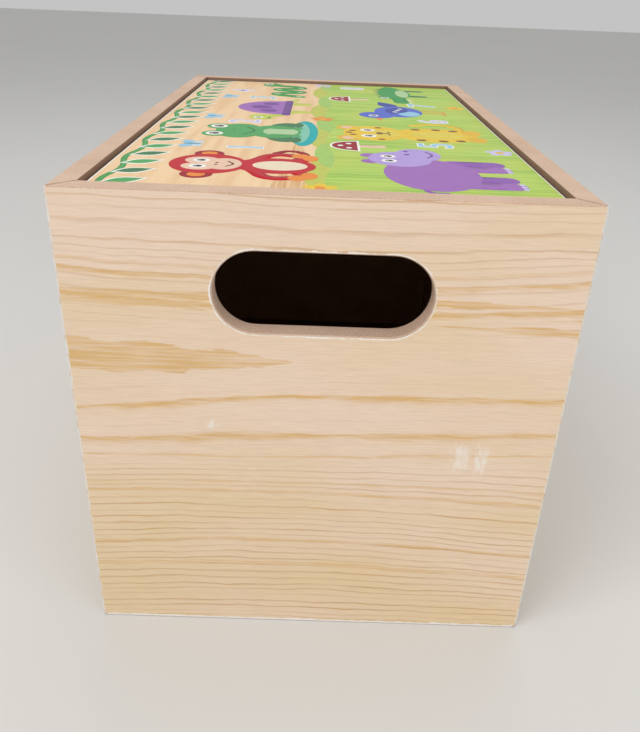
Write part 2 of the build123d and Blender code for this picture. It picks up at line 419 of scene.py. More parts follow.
def bare_core(m, face, settings, board, along, height):
    """Where the white core shows: a ragged line round the paper and the slot, and the scuffs."""
    jags = soft_patches(m, board, (3.5, 3.5, 3.5), 3.0, 5.0)
    width = settings.worn_edge / MM
    reach = add(m, "MapRange", {0: jags, 1: 0.35, 2: 0.7, 3: 0.5 * width, 4: 1.5 * width})
    low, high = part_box(face.node)
    half = face.length / 2 - (CAD_BOX[1].z - high.z) / MM
    from_foot = add(m, "Math", {0: height, 1: low.z / MM}, operation="SUBTRACT")
    side = add(m, "Math", {0: along}, operation="ABSOLUTE")
    from_side = add(m, "Math", {0: half, 1: side}, operation="SUBTRACT")
    # The worn line is less than half as wide at the corners as along the foot
    from_side = add(m, "Math", {0: from_side, 1: 2.2}, operation="MULTIPLY")
    from_foot = add(m, "Math", {0: from_foot, 1: 0.8}, operation="MULTIPLY")
    nearest = add(m, "Math", {0: from_foot, 1: from_side}, operation="MINIMUM")
    if face.slotted:
        over = add(m, "Math", {0: side, 1: SLOT.half_run}, operation="SUBTRACT")
        over = add(m, "Math", {0: over, 1: 0.0}, operation="MAXIMUM")
        up = add(m, "Math", {0: height, 1: SLOT.centre}, operation="SUBTRACT")
        flat = add(m, "CombineXYZ", {0: over, 1: up})
        out = add(m, "VectorMath", {0: flat}, operation="LENGTH").outputs["Value"]
        from_slot = add(m, "Math", {0: out, 1: SLOT.radius - 0.42}, operation="SUBTRACT")
        nearest = add(m, "Math", {0: nearest, 1: from_slot}, operation="MINIMUM")
    inside = add(m, "Math", {0: nearest, 1: reach}, operation="SUBTRACT")
    bare = add(m, "MapRange", {0: inside, 1: 0.0, 2: 0.25, 3: 1.0, 4: 0.0})
    scratch = soft_patches(m, board, (1.6, 1.6, 4.0), 4.0, 60.0)
    for scuff in face.scuffs:
        x = add(m, "Math", {0: along, 1: scuff.along}, operation="SUBTRACT")
        z = add(m, "Math", {0: height, 1: scuff.height}, operation="SUBTRACT")
        x = add(m, "Math", {0: x, 1: 2 / scuff.width}, operation="MULTIPLY")
        z = add(m, "Math", {0: z, 1: 2 / scuff.tall}, operation="MULTIPLY")
        flat = add(m, "CombineXYZ", {0: x, 1: z})
        out = add(m, "VectorMath", {0: flat}, operation="LENGTH").outputs["Value"]
        within = add(m, "MapRange", {0: out, 1: 0.2, 2: 1.3, 3: 0.3, 4: -0.2})
        torn = add(m, "Math", {0: scratch, 1: within}, operation="ADD")
        torn = add(m, "MapRange", {0: torn, 1: 0.54, 2: 0.86, 3: 0.0, 4: 0.62})
        bare = add(m, "Math", {0: bare, 1: torn}, operation="MAXIMUM")
    return bare


ARRIS = 1.4  # mm that the white filling reaches in from a sharp corner


def mdf(settings):
    """Raw MDF, sawn and sanded: matt, felted brown fibres, a thin dirty line in each mitre, and painted
    shade on the inner faces beside the sunk lid.
    """
    m, shader, place = new_material("raw_mdf")
    # Real fibres are under 0.1 mm wide: these clumps are coarser, so that they show
    felt = soft_patches(m, place, (0.7, 0.7, 0.7), 4.0)
    clouds = soft_patches(m, place, (24, 24, 24), 2.0, 4.0)
    grit = add(m, "MapRange", {0: felt, 1: 0.35, 2: 0.72, 3: 0.0, 4: 0.55})
    stain = add(m, "MapRange", {0: clouds, 1: 0.35, 2: 0.75, 3: 0.0, 4: 0.3})
    dark = add(m, "Math", {0: grit, 1: stain}, operation="ADD")
    shades = {"Factor": dark, "A": settings.mdf, "B": settings.mdf_dark}
    board = add(m, "Mix", shades, data_type="RGBA")
    axes = add(m, "SeparateXYZ", {0: place})
    x, y = (add(m, "Math", {0: axes.outputs[way]}, operation="ABSOLUTE") for way in "XY")
    past = add(m, "Math", {0: y, 1: x}, operation="SUBTRACT")
    away = add(m, "Math", {0: past, 1: MITRE_OFFSET}, operation="SUBTRACT")
    away = add(m, "Math", {0: away}, operation="ABSOLUTE")
    jags = soft_patches(m, place, (1.5, 1.5, 1.5), 2.0, 8.0)
    line = add(m, "Math", {0: jags, 1: away}, operation="SUBTRACT")
    line = add(m, "MapRange", {0: line, 1: -0.1, 2: 0.25, 3: 0.0, 4: 0.9})
    # The lid board has no mitres, and lies inside the walls
    past_x = add(m, "Math", {0: x, 1: WALL_INSIDE.x / MM}, operation="SUBTRACT")
    past_y = add(m, "Math", {0: y, 1: WALL_INSIDE.y / MM}, operation="SUBTRACT")
    beyond = add(m, "Math", {0: past_x, 1: past_y}, operation="MAXIMUM")
    on_wall = add(m, "MapRange", {0: beyond, 1: -0.6, 2: -0.3})
    line = add(m, "Math", {0: line, 1: on_wall}, operation="MULTIPLY")
    # Painted shade: the inner faces of the walls beside the sunk lid, from 2 mm under the tops of its rails
    # upward, are darkened towards the colour of the mitre lines
    painted_recess_shade = add(m, "Math", {0: beyond}, operation="ABSOLUTE")
    painted_recess_shade = add(m, "MapRange", {0: painted_recess_shade, 1: 0.1, 2: 0.3, 3: 1.0, 4: 0.0})
    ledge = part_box("left_lid_rail")[1].z / MM
    over = add(m, "MapRange", {0: axes.outputs["Z"], 1: ledge - 2.0, 2: ledge, 3: 0.0, 4: 0.75})
    painted_recess_shade = add(m, "Math", {0: painted_recess_shade, 1: over}, operation="MULTIPLY")
    line = add(m, "Math", {0: line, 1: painted_recess_shade}, operation="MAXIMUM")
    # One mix draws the dirty mitre lines and the painted shade beside the lid
    board = add(m, "Mix", {"Factor": line, "A": board, "B": settings.joint_and_recess_shade}, data_type="RGBA")
    # The arris between two papers is filled and white, like the papers' core
    out = add(m, "Math", {0: x, 1: y}, operation="ADD")
    corner = (TOP.x + TOP.y) / MM - ARRIS
    filled = add(m, "MapRange", {0: out, 1: corner, 2: corner + 0.2, 3: 0.0, 4: 0.85})
    white = bpy.context.scene.toybox.paper.core
    board = add(m, "Mix", {"Factor": filled, "A": board, "B": white}, data_type="RGBA")
    rough = add(m, "MapRange", {0: felt, 3: 0.72, 4: 0.92})
    shader.inputs["Specular IOR Level"].default_value = 0.25
    return connect(m, shader, board, rough, felt, strength=0.5, depth=0.06)


def hardboard(settings):
    """Hardboard: a pressed brown sheet with a hard, faintly shiny face and fine dark specks."""
    m, shader, place = new_material("hardboard")
    specks = soft_patches(m, place, (1.1, 1.1, 1.1), 4.0)
    clouds = soft_patches(m, place, (40, 40, 40), 2.0, 3.0)
    both = add(m, "Math", {0: specks, 1: clouds}, operation="ADD")
    shade = add(m, "MapRange", {0: both, 1: 0.75, 2: 1.3, 3: 0.75, 4: 1.15})
    rough = add(m, "MapRange", {0: specks, 3: 0.4, 4: 0.62})
    board = settings.hardboard
    return connect(m, shader, board, rough, specks, strength=0.3, depth=0.05, shade=shade)


def planed_pine(settings):
    """Planed pine: bare softwood with straight rings along the strip, matt to satin."""
    m, shader, place = new_material("planed_pine")
    # Rings are their real width, and fibres are drawn coarser than they are, to show
    rings = soft_patches(m, place, (1.6, 140, 1.6), 2.0)
    fibres = soft_patches(m, place, (0.35, 18, 0.35), 3.0, 6.0)
    dark = add(m, "MapRange", {0: rings, 1: 0.45, 2: 0.62, 3: 1.04, 4: 0.78})
    fine = add(m, "MapRange", {0: fibres, 3: 0.93, 4: 1.06})
    shade = add(m, "Math", {0: dark, 1: fine}, operation="MULTIPLY")
    rough = add(m, "MapRange", {0: fibres, 3: 0.5, 4: 0.7})
    strip = settings.pine
    return connect(m, shader, strip, rough, fibres, strength=0.4, depth=0.05, shade=shade)


def bright_steel(settings):
    """Bright drawn steel of the pins: a metal with fine scratches, a little dulled."""
    m, shader, place = new_material("bright_steel")
    # Drawing marks are finer than this, which is as coarse as they need to be to show
    scratches = soft_patches(m, place, (0.15, 1.2, 0.15), 3.0)
    shade = add(m, "MapRange", {0: scratches, 3: 0.86, 4: 1.08})
    shader.inputs["Metallic"].default_value = 1.0
    rough = add(m, "MapRange", {0: scratches, 3: 0.24, 4: 0.42})
    return connect(m, shader, settings.steel, rough, shade=shade)


def paper_tooth(m, place):
    """The tooth of the sheet, drawn coarser than its real 0.1 mm, so that it shows."""
    return soft_patches(m, place, (0.45, 0.45, 0.45), 2.0, 7.0)


def finish_print(m, shader, ink, tooth, shade=None):
    """The satin film over the print, with the paper's tooth just showing through it."""
    shader.inputs["Specular IOR Level"].default_value = 0.12
    rough = add(m, "MapRange", {0: tooth, 3: 0.34, 4: 0.48})
    return connect(m, shader, ink, rough, tooth, strength=0.25, depth=0.01, shade=shade)


def printed_ink(name, tint):
    """One ink of the picture: offset print, nearly even, with faint mottling and paper tooth."""
    m, shader, place = new_material("ink_" + name)
    mottle = soft_patches(m, place, (5, 5, 5), 3.0)
    tooth = paper_tooth(m, place)
    both = add(m, "Math", {0: mottle, 1: tooth}, operation="ADD")
    shade = add(m, "MapRange", {0: both, 1: 0.7, 2: 1.3, 3: 0.86, 4: 0.98})
    return finish_print(m, shader, tint, tooth, shade)


def printed_grass(settings):
    """The meadow's ink: lime green with brushed blades that run up the picture."""
    m, shader, place = new_material("ink_grass")
    blades = soft_patches(m, place, (60, 2.2, 60), 3.0)
    patches = soft_patches(m, place, (40, 30, 40), 2.0, 5.0)
    tooth = paper_tooth(m, place)
    dark = add(m, "MapRange", {0: blades, 1: 0.46, 2: 0.62, 3: 0.0, 4: 0.95})
    fresh = add(m, "MapRange", {0: patches, 1: 0.4, 2: 0.7, 3: 0.0, 4: 0.6})
    greens = {"Factor": dark, "A": settings.grass, "B": settings.grass_dark}
    ink = add(m, "Mix", greens, data_type="RGBA")
    ink = add(m, "Mix", {"Factor": fresh, "A": ink, "B": settings.olive}, data_type="RGBA")
    return finish_print(m, shader, ink, tooth)


def printed_planks(settings):
    """The picture's ground on its sheet: painted planks, streaky along the box, white-edged."""
    m, shader, place = new_material("ink_planks")
    axes = add(m, "SeparateXYZ", {0: place})
    x, y = axes.outputs["X"], axes.outputs["Y"]
    streaks = soft_patches(m, place, (5, 70, 5), 4.0)
    clouds = soft_patches(m, place, (30, 110, 30), 2.0, 5.0)
    tooth = paper_tooth(m, place)
    warm = add(m, "MapRange", {0: streaks, 1: 0.42, 2: 0.66, 3: 0.0, 4: 0.7})
    shades = {"Factor": warm, "A": settings.ground, "B": settings.ground_warm}
    ink = add(m, "Mix", shades, data_type="RGBA")
    flame = Flame(SHEET_LOW.y / MM - 5.0, -12.0, SHEET_LOW.y / MM + 100.0, -14.0, 20.0)
    brown = pine_flame(m, y, x, flame, clouds)
    fine = soft_patches(m, place, (1.4, 50, 1.4), 3.0, 11.0)
    veins = add(m, "MapRange", {0: fine, 1: 0.4, 2: 0.6, 3: 0.12, 4: 0.85})
    brown = add(m, "Math", {0: brown, 1: veins}, operation="MULTIPLY")
    ink = add(m, "Mix", {"Factor": brown, "A": ink, "B": settings.ground_brown}, data_type="RGBA")
    x = add(m, "Math", {0: x}, operation="ABSOLUTE")
    y = add(m, "Math", {0: y}, operation="ABSOLUTE")
    x = add(m, "Math", {0: SHEET_HIGH.x / MM, 1: x}, operation="SUBTRACT")
    y = add(m, "Math", {0: SHEET_HIGH.y / MM, 1: y}, operation="SUBTRACT")
    nearest = add(m, "Math", {0: x, 1: y}, operation="MINIMUM")
    edge = add(m, "MapRange", {0: nearest, 1: MARGIN, 2: MARGIN + 0.15, 3: 1.0, 4: 0.0})
    ink = add(m, "Mix", {"Factor": edge, "A": ink, "B": settings.white}, data_type="RGBA")
    return finish_print(m, shader, ink, tooth)


def studio_floor(settings):
    """Seamless paper: pale, matt and almost even."""
    m, shader, place = new_material("studio_floor")
    clouds = soft_patches(m, place, (300, 300, 300), 2.0)
    shade = add(m, "MapRange", {0: clouds, 3: 0.97, 4: 1.02})
    tint = {"Factor": 1.0, "A": settings.floor, "B": shade}
    paper = add(m, "Mix", tint, data_type="RGBA", blend_type="MULTIPLY")
    m.node_tree.links.new(first_open(paper.outputs), shader.inputs["Base Color"])
    shader.inputs["Roughness"].default_value = 0.85
    return m


# ------------------------------------------------------------------------- printed grain

Slot = namedtuple("Slot", "centre half_run radius")
SLOT = Slot(170.0, 25.5, 17.1)  # the paper's cut-out round a hand slot, as its rounded ends

# Each ring is (height at the board's edges, thickness, depth of colour)
PINE_FACES = (
    PineFace(
        node="near_end_paper",
        turn=0.0,
        length=200.0,
        slotted=True,
        lift=((0, -1), (45, -1), (75, -2.5), (97, 5), (107, 7.8), (125, 12), (148, 3), (165, 0)),
        bow=(
            (0, 3), (47, 4.3), (75, 3.8), (97, -0.7), (107, 2.2),
            (124, 3), (146, 0), (168, -4.5), (200, -2),
        ),
        rings=(
            (178.5, 1.7, 0.85), (183.0, 1.0, 0.4), (168.0, 2.6, 0.9), (123.3, 2.6, 0.9),
            (106.1, 2.5, 0.85), (97.2, 1.3, 0.6), (80.5, 1.1, 0.5), (75.0, 1.3, 0.65),
            (46.8, 1.3, 0.6), (33.3, 1.3, 0.6),
        ),
        density=(
            (0, 0.9), (84, 0.9), (93, 0.3), (112, 0.12),
            (150, 0.1), (165, 0.4), (185, 0.7), (205, 0.7),
        ),
        flames=(
            Flame(-101.0, 141.0, -10.0, 141.4, 20.0),
            Flame(101.0, 158.0, 36.0, 159.5, 4.6),
            Flame(101.0, 163.4, 74.0, 162.6, 1.8),
            Flame(56.0, 168.5, 101.0, 168.0, 3.6),
            Flame(-60.0, 165.0, -42.0, 162.0, 2.6),
        ),
        scuffs=(Scuff(60.5, 98.5, 12.0, 19.0), Scuff(69.5, 97.0, 9.0, 20.0), Scuff(-44.0, 111.0, 7.0, 7.0)),
    ),
    PineFace(
        node="far_end_paper",
        turn=math.pi,
        length=200.0,
        slotted=True,
        lift=((0, 2), (60, 3), (100, -4), (150, 2), (205, 0)),
        bow=((0, -3), (60, -4), (110, 2), (150, 5), (205, 3)),
        rings=(
            (187.0, 1.2, 0.6), (176.0, 1.7, 0.85), (141.0, 1.8, 0.85), (128.0, 1.4, 0.7),
            (97.0, 1.8, 0.85), (84.0, 1.2, 0.6), (41.0, 1.3, 0.6), (22.0, 1.2, 0.5),
        ),
        density=((0, 0.8), (60, 0.7), (90, 0.2), (150, 0.15), (165, 0.4), (205, 0.6)),
        flames=(
            Flame(101.0, 112.0, -5.0, 113.0, 15.0),
            Flame(-101.0, 64.0, -40.0, 65.0, 8.0),
        ),
        scuffs=(Scuff(-52.0, 60.0, 9.0, 7.0),),
    ),
    PineFace(
        node="left_side_paper",
        turn=math.pi / 2,
        length=340.0,
        slotted=False,
        lift=((0, -6), (50, -4), (100, 4), (150, 8), (205, 5)),
        bow=((0, 4), (60, 7), (110, 3), (150, -6), (205, -4)),
        rings=(
            (194.0, 1.3, 0.6), (181.0, 1.8, 0.85), (160.0, 1.9, 0.9), (129.0, 1.6, 0.8),
            (109.0, 1.8, 0.85), (86.0, 1.4, 0.7), (63.0, 1.2, 0.5), (29.0, 1.3, 0.6),
        ),
        density=((0, 0.8), (55, 0.75), (85, 0.25), (150, 0.12), (175, 0.4), (205, 0.5)),
        flames=(
            Flame(-171.0, 144.0, -30.0, 147.0, 19.0),
            Flame(171.0, 96.0, 70.0, 94.0, 12.0),
            Flame(-60.0, 118.0, 40.0, 120.0, 7.0),
        ),
        scuffs=(Scuff(95.0, 150.0, 10.0, 6.0),),
    ),
    PineFace(
        node="right_side_paper",
        turn=-math.pi / 2,
        length=340.0,
        slotted=False,
        lift=((0, 5), (60, 2), (110, -6), (160, -3), (205, 2)),
        bow=((0, 3), (55, 6), (105, 8), (150, 2), (205, -3)),
        rings=(
            (190.0, 1.6, 0.8), (172.0, 1.4, 0.7), (151.0, 1.8, 0.85), (120.0, 1.9, 0.9),
            (101.0, 1.4, 0.7), (72.0, 1.7, 0.8), (44.0, 1.2, 0.5), (18.0, 1.3, 0.6),
        ),
        density=((0, 0.85), (60, 0.7), (95, 0.2), (140, 0.15), (165, 0.35), (205, 0.55)),
        flames=(
            Flame(-171.0, 86.0, -50.0, 88.0, 16.0),
            Flame(171.0, 137.0, 20.0, 136.0, 14.0),
        ),
        scuffs=(Scuff(-20.0, 70.0, 8.0, 10.0), Scuff(120.0, 40.0, 7.0, 5.0)),
    ),
)


# ---------------------------------------------------------------------------- ink layers

PICTURE_PLACE = (
    Matrix.Translation((SHEET_HIGH.x, SHEET_LOW.y, SHEET_HIGH.z))
    @ Matrix.Rotation(math.pi / 2, 4, "Z")
    @ Matrix.Scale(MM, 4)
)
SUNK = 0.02  # mm that each layer reaches into the sheet under it
MARGIN = 0.5  # mm of bare white sheet that is left round the picture
NUDGE = 0.05  # share of a step between shapes of one level, so that no two faces coincide
CAP_HEIGHT = 0.73  # height of a numeral as a share of its letterform's size
TIP_GROWTH = 1.6  # how much further a border reaches at a leaf's pointed ends than at its sides

# The first level of each subject: their fractions differ, so that no two faces coincide
FIRST_LEVEL = {
    "print_meadow": 1.002,
    "print_vine": 3.004,
    "print_cat": 3.014,
    "print_snake": 3.018,
    "print_crocodile": 3.020,
    "print_plants": 3.022,
    "print_butterflies": 3.024,
    "print_hippo": 4.012,
    "print_tortoise": 4.016,
    "print_frog": 5.008,
    "print_songbird": 5.010,
    "print_monkey": 6.006,
    "print_numerals": 14.026,
}


def ink_material(name):
    """The material of an ink, made when it is first used."""
    found = bpy.data.materials.get("ink_" + name)
    if found:
        return found
    picture = bpy.context.scene.toybox.picture
    if name == "grass":
        return printed_grass(picture)
    return printed_ink(name, getattr(picture, name))


def outline(kind, places, sharp=(), resolution=8, closed=True):
    """A flat curve through these places, cornered at the sharp ones and soft at the others."""
    curve = bpy.data.curves.new(kind, "CURVE")
    curve.dimensions = "2D"
    curve.resolution_u = resolution
    spline = curve.splines.new("BEZIER")
    spline.bezier_points.add(len(places) - 1)
    for k, (point, place) in enumerate(zip(spline.bezier_points, places)):
        turn = "VECTOR" if k in sharp else "AUTO"
        point.co = (*place, 0.0)
        point.handle_left_type = point.handle_right_type = turn
    spline.use_cyclic_u = closed
    curve.fill_mode = "BOTH" if closed else "NONE"
    curve.extrude = 0.5 if closed else 0.0
    return curve


class InkPrint:
    """One subject of the lid's picture: thin closed layers of ink on the sheet, as one piece.

    Places and sizes are in the picture's own millimetres: s runs from the near end along the
    box, and t runs up the picture. Later layers lie over earlier ones.
    """

    def __init__(self, name):
        self.name = name
        self.level = FIRST_LEVEL[name]
        self.shapes = bmesh.new()
        self.inks = []
        self.laid = Counter()

    def lay(self, shape, ink):
        """Adds a slab of any height as a layer of ink, cut off at the sheet's borders."""
        step = bpy.context.scene.toybox.picture.ink_step / MM
        top = (self.level + NUDGE * self.laid[self.level]) * step
        self.laid[self.level] += 1
        bmesh.ops.remove_doubles(shape, verts=shape.verts, dist=1e-4)
        for v in shape.verts:
            v.co.z = top if v.co.z > 0 else -SUNK
        borders = (
            ((MARGIN, 0.0), (-1.0, 0.0)),
            ((PICTURE_LENGTH - MARGIN, 0.0), (1.0, 0.0)),
            ((0.0, MARGIN), (0.0, -1.0)),
            ((0.0, PICTURE_HEIGHT - MARGIN), (0.0, 1.0)),
        )
        for place, outwards in borders:
            everything = shape.verts[:] + shape.edges[:] + shape.faces[:]
            bmesh.ops.bisect_plane(
                shape,
                geom=everything,
                plane_co=(*place, 0.0),
                plane_no=(*outwards, 0.0),
                clear_outer=True,
            )
            open_edges = [e for e in shape.edges if e.is_boundary]
            if open_edges:
                bmesh.ops.holes_fill(shape, edges=open_edges)
        bmesh.ops.recalc_face_normals(shape, faces=shape.faces)
        if ink not in self.inks:
            self.inks.append(ink)
        for f in shape.faces:
            f.material_index = self.inks.index(ink)
        mesh = bpy.data.meshes.new("layer")
        shape.to_mesh(mesh)
        shape.free()
        self.shapes.from_mesh(mesh)
        bpy.data.meshes.remove(mesh)

    def lay_curve(self, curve, ink, place=Matrix()):
        """Lays a filled curve or text, which is made a mesh before it is put in its place."""
        drawn = bpy.data.objects.new("drawn", curve)
        bpy.context.scene.collection.objects.link(drawn)
        shape = bmesh.new()
        solid = drawn.evaluated_get(bpy.context.evaluated_depsgraph_get())
        shape.from_mesh(solid.to_mesh())
        solid.to_mesh_clear()
        bpy.data.objects.remove(drawn)
        bpy.data.curves.remove(curve)
        bmesh.ops.transform(shape, matrix=place, verts=shape.verts)
        self.lay(shape, ink)

    def bordered(self, draw, ink, border):
        """Draws a shape, over a larger one in white where it has a border."""
        if border:
            draw(border, "white")
            self.level += 1
        draw(0.0, ink)

    def ellipse(self, s, t, wide, tall, ink, turn=0.0):
        """A round or oval patch with these half sizes."""
        place = (
            Matrix.Translation((s, t, 0.0))
            @ Matrix.Rotation(math.radians(turn), 4, "Z")
            @ Matrix.Diagonal((wide, tall, 1.0, 1.0))
        )
        shape = bmesh.new()
        bmesh.ops.create_cone(
            shape, cap_ends=True, segments=40, radius1=1, radius2=1, depth=1, matrix=place
        )
        self.lay(shape, ink)

    def patch(self, places, ink, sharp=(), border=0.0):
        """A patch with a smooth outline through these places, cornered at the sharp ones."""

        def draw(grow, tint):
            curve = outline("patch", places, sharp)
            curve.offset = grow
            self.lay_curve(curve, tint)

        self.bordered(draw, ink, border)

    def stroke(self, places, width, ink):
        """A brush stroke of one width along these places, with round ends."""
        half = width / 2
        nib = bpy.data.curves.new("nib", "CURVE")
        nib_line = nib.splines.new("POLY")
        nib_line.points.add(3)
        corners = ((-half, -0.5), (half, -0.5), (half, 0.5), (-half, 0.5))
        for point, corner in zip(nib_line.points, corners):
            point.co = (*corner, 0.0, 1.0)
        nib_line.use_cyclic_u = True
        nib_object = bpy.data.objects.new("nib", nib)
        bpy.context.scene.collection.objects.link(nib_object)
        curve = outline("stroke", places, resolution=10, closed=False)
        curve.bevel_mode = "OBJECT"
        curve.bevel_object = nib_object
        curve.use_fill_caps = True
        self.lay_curve(curve, ink)
        bpy.data.objects.remove(nib_object)
        bpy.data.curves.remove(nib)
        for s, t in (places[0], places[-1]):
            self.ellipse(s, t, half, half, ink)

    def leaf(self, base, tip, width, ink, border=0.0):
        """A leaf from base to tip, widest a little before its middle."""

        def draw(grow, tint):
            unit = (Vector(tip) - Vector(base)).normalized()
            foot = Vector(base) - unit * grow * TIP_GROWTH
            point = Vector(tip) + unit * grow * TIP_GROWTH
            middle = foot.lerp(point, 0.45)
            half = Vector((-unit.y, unit.x)) * (width / 2 + grow)
            places = (foot, middle + half, point, middle - half)
            self.lay_curve(outline("leaf", places, sharp=(0, 2), resolution=10), tint)

        self.bordered(draw, ink, border)

    def numeral(self, text, s, t, height, ink, border=0.0):
        """A plain numeral in the program's own letterform, centred at a place."""

        def draw(grow, tint):
            curve = bpy.data.curves.new("numeral", "FONT")
            curve.body = text
            curve.size = height / CAP_HEIGHT
            curve.align_x = "CENTER"
            curve.align_y = "CENTER"
            curve.extrude = 0.5
            curve.offset = grow + 0.01 * height  # a little bolder than the letterform is
            curve.resolution_u = 4
            self.lay_curve(curve, tint, Matrix.Translation((s, t, 0.0)))

        self.bordered(draw, ink, border)

    def eye(self, s, t, wide, tall):
        """An eye: its white, a dark pupil and a glint."""
        self.ellipse(s, t, wide, tall, "white")
        self.level += 1
        size = 0.52 * min(wide, tall)
        self.ellipse(s, t, size, size * 1.1, "black")
        self.level += 1
        self.ellipse(s - 0.35 * size, t + 0.4 * size, 0.3 * size, 0.3 * size, "white")

    def finish(self):
        """Makes the layers one piece, which rides on the lid."""
        self.shapes.transform(PICTURE_PLACE)
        mesh = bpy.data.meshes.new(self.name)
        self.shapes.to_mesh(mesh)
        self.shapes.free()
        piece = bpy.data.objects.new(self.name, mesh)
        bpy.context.scene.collection.objects.link(piece)
        for ink in self.inks:
            mesh.materials.append(ink_material(ink))
        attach(piece, "lid")


def outline_width():
    """Width of the white outlines, in millimetres."""
    return bpy.context.scene.toybox.picture.outline / MM


# ------------------------------------------------------------------------ the box's pieces


def dress(node, material):
    """Gives a CAD node its finish, in its object's own material slot."""
    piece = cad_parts[node]
    if not piece.material_slots:
        piece.data.materials.append(material)
    for place in piece.material_slots:
        place.material = material


class TOYBOX_OT_walls(bpy.types.Operator):
    """Finish the four MDF walls, whose edges show as the rim and in the hand slots"""

    bl_idname = "toybox.walls"
    bl_label = "Finish the Walls"

    def execute(self, context):
        board = mdf(context.scene.toybox.boards)
        for wall in ("near_end_wall", "far_end_wall", "left_side_wall", "right_side_wall"):
            dress(wall, board)
        return {"FINISHED"}


class TOYBOX_OT_papers(bpy.types.Operator):
    """Print the pine pattern of the four outer papers"""

    bl_idname = "toybox.papers"
    bl_label = "Print the Pine Papers"

    def execute(self, context):
        for face in PINE_FACES:
            dress(face.node, pine_print(face, context.scene.toybox.paper))
        return {"FINISHED"}


class TOYBOX_OT_bottom(bpy.types.Operator):
    """Finish the hardboard floor of the box"""

    bl_idname = "toybox.bottom"
    bl_label = "Finish the Floor Board"

    def execute(self, context):
        dress("floor_board", hardboard(context.scene.toybox.boards))
        return {"FINISHED"}


class TOYBOX_OT_rails(bpy.types.Operator):
    """Finish the pine rails that carry the lid, and the steel pins that hold them"""

    bl_idname = "toybox.rails"
    bl_label = "Finish the Rails and Pins"

    def execute(self, context):
        pine = planed_pine(context.scene.toybox.boards)
        steel = bright_steel(context.scene.toybox.boards)
        for side in ("left", "right"):
            dress(side + "_lid_rail", pine)
            dress(side + "_rail_pins", steel)
        return {"FINISHED"}


class TOYBOX_OT_lid(bpy.types.Operator):
    """Finish the lid's board and the ground of its picture"""

    bl_idname = "toybox.lid"
    bl_label = "Finish the Lid"

    def execute(self, context):
        dress("lid_board", mdf(context.scene.toybox.boards))
        dress("lid_picture_sheet", printed_planks(context.scene.toybox.picture))
        return {"FINISHED"}


# -------------------------------------------------------------------------- the lid's picture


class TOYBOX_OT_meadow(bpy.types.Operator):
    """Print the meadow and the low hills behind the animals"""

    bl_idname = "toybox.meadow"
    bl_label = "Print the Meadow"

    def execute(self, context):
        ink = InkPrint("print_meadow")
        for s in (30, 110, 190, 270):
            ink.ellipse(s, 86, 34, 13, "olive")
        ink.level += 1
        for s in (70, 150, 230, 310):
            ink.ellipse(s, 84, 30, 11, "grass_light")
        ink.level += 1
        crests = [(s, 86 + 4 * (k % 2)) for k, s in enumerate(range(-20, 341, 40))]
        last = len(crests)
        ink.patch((*crests, (340, -20), (-20, -20)), "grass", sharp=(last, last + 1))
        ink.finish()
        return {"FINISHED"}


class TOYBOX_OT_vine(bpy.types.Operator):
    """Print a vine with even leaves along the top of the picture"""

    bl_idname = "toybox.vine"
    bl_label = "Print the Vine"

    def execute(self, context):
        ink = InkPrint("print_vine")
        sway = [(s, 172 + 3 * (k % 2)) for k, s in enumerate(range(-10, 331, 20))]
        ink.stroke(sway, 2.6, "leaf")
        ink.level += 1
        for k, s in enumerate(range(6, 318, 16)):
            tint = "deep_leaf" if k % 2 else "leaf"
            ink.leaf((s, 173), (s + 7, 159), 7, tint, border=outline_width())
            ink.level -= 1
        ink.finish()
        return {"FINISHED"}


class TOYBOX_OT_monkey(bpy.types.Operator):
    """Print a red monkey, seen from the front"""

    bl_idname = "toybox.monkey"
    bl_label = "Print the Monkey"

    def execute(self, context):
        ink = InkPrint("print_monkey")
        middle = 42
        ink.stroke(((54, 103), (66, 99), (72, 106), (67, 112)), 3.6, "deep_red")
        for side in (-1, 1):
            arm = ((middle + 9 * side, 120), (middle + 21 * side, 112), (middle + 20 * side, 102))
            ink.stroke(arm, 6, "red")
            ink.stroke(((middle + 7 * side, 104), (middle + 15 * side, 98)), 7, "red")
            ink.ellipse(middle + 20 * side, 101, 4.2, 4, "orange")
            ink.ellipse(middle + 16 * side, 96.5, 5.5, 3.4, "orange")
            ink.ellipse(middle + 19 * side, 141, 6.5, 6.5, "deep_red")
        ink.level += 1
        for side in (-1, 1):
            ink.ellipse(middle + 19.5 * side, 141, 3.6, 3.6, "orange")
        ink.ellipse(middle, 111, 14, 17, "red")
        ink.level += 1
        ink.ellipse(middle, 109, 8.5, 11.5, "cream")
        ink.ellipse(middle, 139, 18, 16, "red")
        ink.level += 1
        for side in (-1, 1):
            ink.ellipse(middle + 5.5 * side, 142, 6.6, 7.4, "blush")
        ink.ellipse(middle, 132.5, 10.5, 7.5, "blush")
        ink.level += 1
        for side in (-1, 1):
            ink.ellipse(middle + 1.8 * side, 135.5, 0.9, 0.8, "brown")
        ink.stroke(((middle - 4.5, 131), (middle, 128.6), (middle + 4.5, 131)), 1, "brown")
        for side in (-1, 1):
            ink.eye(middle + 5.5 * side, 142.5, 3.2, 3.6)
            ink.level -= 2
        ink.finish()
        return {"FINISHED"}


